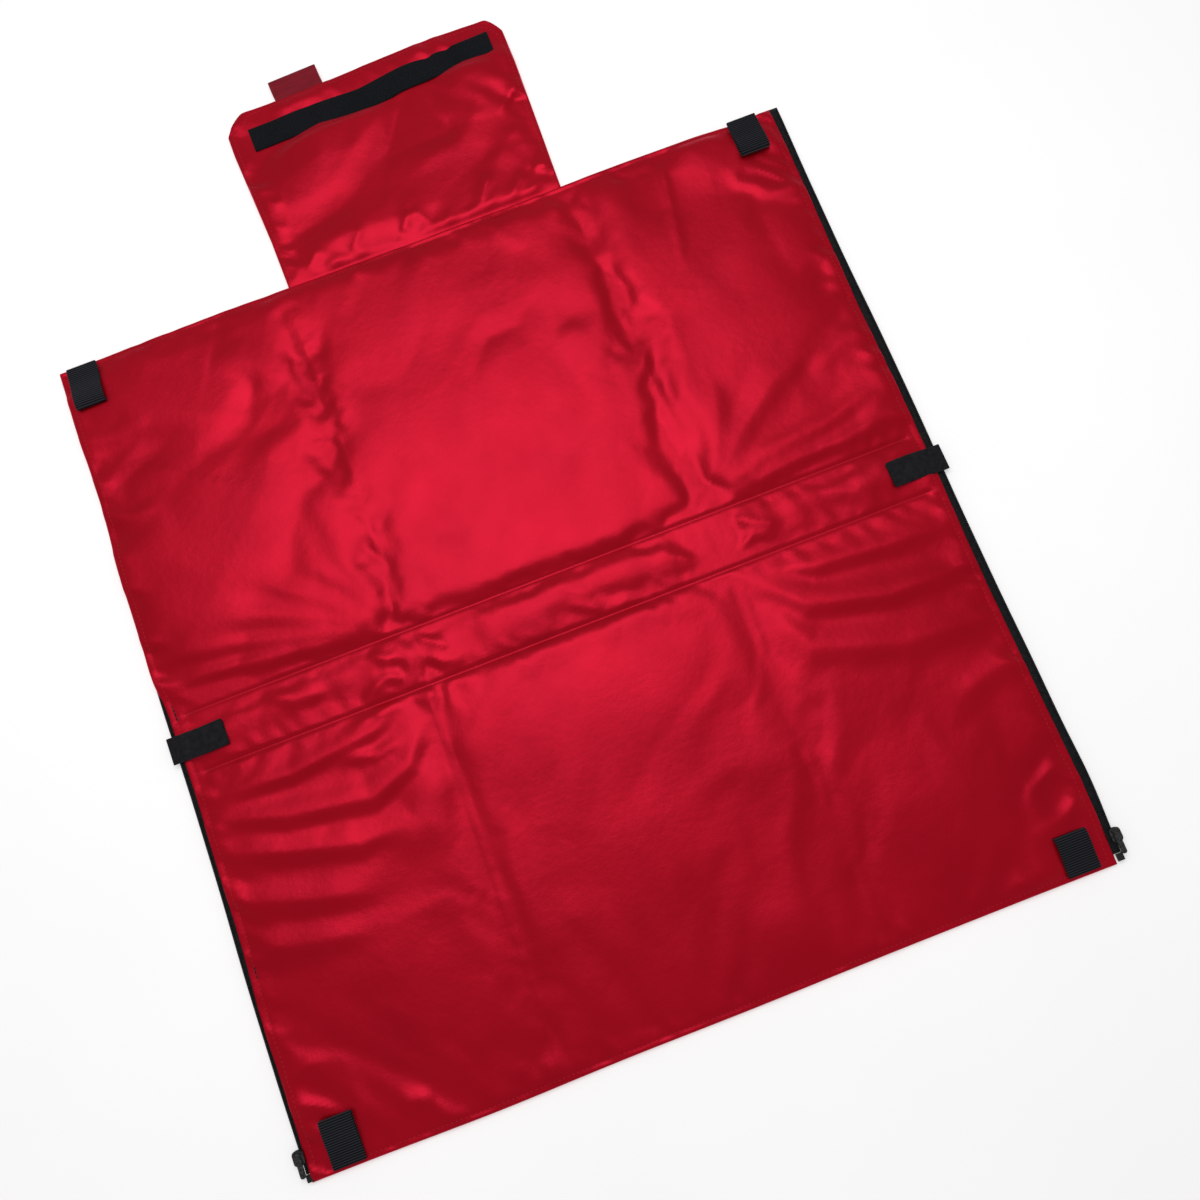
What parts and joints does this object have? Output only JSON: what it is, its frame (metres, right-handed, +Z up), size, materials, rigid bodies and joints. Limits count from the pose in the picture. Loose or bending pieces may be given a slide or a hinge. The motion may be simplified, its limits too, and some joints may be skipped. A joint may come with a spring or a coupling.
{
  "type": "folding fire blanket",
  "caption": "Square fabric mat that folds in on itself into a flat carry bag with a hook-and-loop flap, strap handle and zips along both sides.",
  "frame": {"origin": "middle of the laid-out outline, on the surface the mat lies on", "axes": "+X to the right across the mat, +Y towards the flap, +Z up from the inner face"},
  "size_m": [0.772, 1.015, 0.0089],
  "materials": {
    "inner_satin_red": "coated satin nylon, glossy",
    "outer_cloth_red": "matt plain-weave polyester",
    "heat_barrier_felt": "thin needled felt",
    "hook_tape_black": "hook tape, matt",
    "loop_tape_black": "brushed loop tape, matt",
    "woven_label_red": "damask woven, no lettering",
    "handle_strap_red": "folded plain-weave polyester",
    "zip_tape_black": "herringbone zip tape",
    "zip_coil_black": "nylon coil",
    "zip_metal_dark": "dark painted die-casting, worn at edges",
    "ribbed_webbing_black": "cross-ribbed webbing",
    "smooth_webbing_black": "smooth tape"
  },
  "bodies": {
    "upper_centre": {"upper_centre_face": "inner_satin_red", "upper_centre_core": "heat_barrier_felt", "upper_centre_cover": "outer_cloth_red"},
    "upper_left": {"upper_left_face": "inner_satin_red", "upper_left_core": "heat_barrier_felt", "upper_left_cover": "outer_cloth_red", "zip_tape_upper_left": "zip_tape_black", "zip_coil_upper_left": "zip_coil_black"},
    "upper_right": {"upper_right_face": "inner_satin_red", "upper_right_core": "heat_barrier_felt", "upper_right_cover": "outer_cloth_red", "zip_tape_upper_right": "zip_tape_black", "zip_coil_upper_right": "zip_coil_black"},
    "spine_centre": {"spine_centre_face": "inner_satin_red", "spine_centre_core": "heat_barrier_felt", "spine_centre_cover": "outer_cloth_red"},
    "spine_left": {"spine_left_face": "inner_satin_red", "spine_left_cover": "outer_cloth_red", "zip_tape_spine_left": "zip_tape_black", "zip_coil_spine_left": "zip_coil_black", "spine_left_gathers": "inner_satin_red"},
    "spine_right": {"spine_right_face": "inner_satin_red", "spine_right_cover": "outer_cloth_red", "zip_tape_spine_right": "zip_tape_black", "zip_coil_spine_right": "zip_coil_black", "spine_right_gathers": "inner_satin_red"},
    "lower_centre": {"lower_centre_face": "inner_satin_red", "lower_centre_core": "heat_barrier_felt", "lower_centre_cover": "outer_cloth_red", "loop_strip": "loop_tape_black"},
    "lower_left": {"lower_left_face": "inner_satin_red", "lower_left_core": "heat_barrier_felt", "lower_left_cover": "outer_cloth_red", "zip_tape_lower_left": "zip_tape_black", "zip_coil_lower_left": "zip_coil_black", "zip_stop_left": "zip_coil_black"},
    "lower_right": {"lower_right_face": "inner_satin_red", "lower_right_core": "heat_barrier_felt", "lower_right_cover": "outer_cloth_red", "zip_tape_lower_right": "zip_tape_black", "zip_coil_lower_right": "zip_coil_black", "zip_stop_right": "zip_coil_black"},
    "flap_top": {"flap_top_lining": "inner_satin_red", "flap_top_cover": "outer_cloth_red"},
    "flap_front": {"flap_front_lining": "inner_satin_red", "flap_front_cover": "outer_cloth_red", "hook_strip": "hook_tape_black", "blank_label": "woven_label_red"},
    "handle": {"handle_strap": "handle_strap_red"},
    "slider_left": {"slider_left": "zip_metal_dark"},
    "puller_left": {"puller_left": "zip_metal_dark"},
    "side_tab_left": {"side_tab_left": "smooth_webbing_black"},
    "corner_loop_upper_left": {"corner_loop_upper_left": "ribbed_webbing_black"},
    "corner_loop_lower_left": {"corner_loop_lower_left": "ribbed_webbing_black"},
    "slider_right": {"slider_right": "zip_metal_dark"},
    "puller_right": {"puller_right": "zip_metal_dark"},
    "side_tab_right": {"side_tab_right": "smooth_webbing_black"},
    "corner_loop_upper_right": {"corner_loop_upper_right": "ribbed_webbing_black"},
    "corner_loop_lower_right": {"corner_loop_lower_right": "ribbed_webbing_black"}
  },
  "joints": [
    {"name": "left_fold", "type": "hinge", "parent": "upper_centre", "child": "upper_left", "pos_m": [-0.143, 0.0875, 0.0072], "axis": [0, 1, 0], "range_deg": [0, 179.9]},
    {"name": "right_fold", "type": "hinge", "parent": "upper_centre", "child": "upper_right", "pos_m": [0.159, 0.0875, 0.011], "axis": [0, -1, 0], "range_deg": [0, 179.9]},
    {"name": "left_fold_spine", "type": "hinge", "parent": "spine_centre", "child": "spine_left", "pos_m": [-0.143, -0.1125, 0.0072], "axis": [0, 1, 0], "range_deg": [0, 179.9]},
    {"name": "right_fold_spine", "type": "hinge", "parent": "spine_centre", "child": "spine_right", "pos_m": [0.159, -0.1125, 0.011], "axis": [0, -1, 0], "range_deg": [0, 179.9]},
    {"name": "left_fold_lower", "type": "hinge", "parent": "lower_centre", "child": "lower_left", "pos_m": [-0.143, -0.3125, 0.0072], "axis": [0, 1, 0], "range_deg": [0, 179.9]},
    {"name": "right_fold_lower", "type": "hinge", "parent": "lower_centre", "child": "lower_right", "pos_m": [0.159, -0.3125, 0.011], "axis": [0, -1, 0], "range_deg": [0, 179.9]},
    {"name": "half_fold", "type": "hinge", "parent": "upper_centre", "child": "spine_centre", "pos_m": [0.008, -0.0845, 0.0046], "axis": [-1, 0, 0], "range_deg": [0, 90], "deforming": ["spine_left_gathers", "spine_right_gathers"]},
    {"name": "half_fold_lower", "type": "hinge", "parent": "spine_centre", "child": "lower_centre", "pos_m": [0.008, -0.1405, 0.0046], "axis": [-1, 0, 0], "range_deg": [0, 90]},
    {"name": "flap_fold", "type": "hinge", "parent": "upper_centre", "child": "flap_top", "pos_m": [0.0055, 0.2855, 0.0046], "axis": [1, 0, 0], "range_deg": [0, 90]},
    {"name": "flap_fold_front", "type": "hinge", "parent": "flap_top", "child": "flap_front", "pos_m": [0.0055, 0.3485, 0.0046], "axis": [1, 0, 0], "range_deg": [0, 90]},
    {"name": "handle_swing", "type": "hinge", "parent": "upper_centre", "child": "handle", "pos_m": [0.0055, 0.284, 0.0012], "axis": [1, 0, 0], "range_deg": [0, 180]},
    {"name": "zip_left", "type": "slide", "parent": "lower_left", "child": "slider_left", "axis": [0, 1, 0], "range_m": [0, 0.317]},
    {"name": "puller_left_swing", "type": "hinge", "parent": "slider_left", "child": "puller_left", "pos_m": [-0.381, -0.4825, 0.0079], "axis": [1, 0, 0], "range_deg": [-170, 0]},
    {"name": "side_tab_left_lift", "type": "hinge", "parent": "spine_left", "child": "side_tab_left", "pos_m": [-0.383, -0.1125, 0.0067], "axis": [0, 1, 0], "range_deg": [-170, 0]},
    {"name": "corner_loop_upper_left_lift", "type": "hinge", "parent": "upper_left", "child": "corner_loop_upper_left", "pos_m": [-0.356, 0.2815, 0.00635], "axis": [1, 0, 0], "range_deg": [-170, 0]},
    {"name": "corner_loop_lower_left_lift", "type": "hinge", "parent": "lower_left", "child": "corner_loop_lower_left", "pos_m": [-0.34, -0.5065, 0.00635], "axis": [-1, 0, 0], "range_deg": [-170, 0]},
    {"name": "zip_right", "type": "slide", "parent": "lower_right", "child": "slider_right", "axis": [0, 1, 0], "range_m": [0, 0.317]},
    {"name": "puller_right_swing", "type": "hinge", "parent": "slider_right", "child": "puller_right", "pos_m": [0.381, -0.4825, 0.0079], "axis": [1, 0, 0], "range_deg": [-170, 0]},
    {"name": "side_tab_right_lift", "type": "hinge", "parent": "spine_right", "child": "side_tab_right", "pos_m": [0.383, -0.1125, 0.0067], "axis": [0, -1, 0], "range_deg": [-170, 0]},
    {"name": "corner_loop_upper_right_lift", "type": "hinge", "parent": "upper_right", "child": "corner_loop_upper_right", "pos_m": [0.34, 0.2815, 0.00635], "axis": [1, 0, 0], "range_deg": [-170, 0]},
    {"name": "corner_loop_lower_right_lift", "type": "hinge", "parent": "lower_right", "child": "corner_loop_lower_right", "pos_m": [0.342, -0.5065, 0.00635], "axis": [-1, 0, 0], "range_deg": [-170, 0]}
  ],
  "couplings": [
    {"joint": "left_fold_spine", "follows": "left_fold", "ratio": 1},
    {"joint": "right_fold_spine", "follows": "right_fold", "ratio": 1},
    {"joint": "left_fold_lower", "follows": "left_fold", "ratio": 1},
    {"joint": "right_fold_lower", "follows": "right_fold", "ratio": 1},
    {"joint": "half_fold_lower", "follows": "half_fold", "ratio": 1},
    {"joint": "flap_fold_front", "follows": "flap_fold", "ratio": 1}
  ]
}
